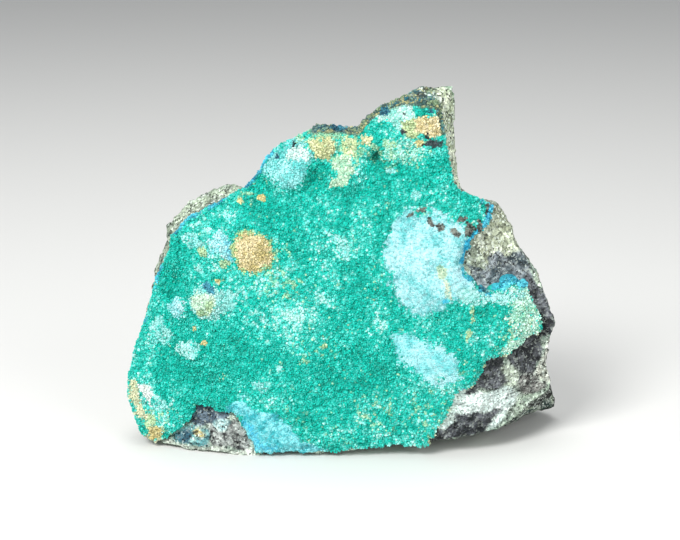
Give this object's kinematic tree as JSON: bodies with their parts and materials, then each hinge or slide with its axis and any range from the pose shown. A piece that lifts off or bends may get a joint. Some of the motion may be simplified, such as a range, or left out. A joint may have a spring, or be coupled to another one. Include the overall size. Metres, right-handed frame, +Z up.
{
  "type": "mineral specimen",
  "caption": "Broken slab of rock standing on its foot, its front covered by a grainy green crust of brochantite with pale blue chrysocolla patches.",
  "frame": {"origin": "centre of the flat foot that the specimen stands on", "axes": "+X to the right along the specimen's width, +Y from the crusted face towards the back, +Z up"},
  "size_m": [0.1113, 0.0395, 0.0911],
  "materials": {
    "matrix": "rough broken rock, speckled cream, tan and dark brown",
    "brochantite": "sugary green crystal crust with pale blue, white and tan patches"
  },
  "bodies": {
    "root": {"matrix_rock": "matrix", "brochantite_crust": "brochantite"}
  },
  "joints": []
}
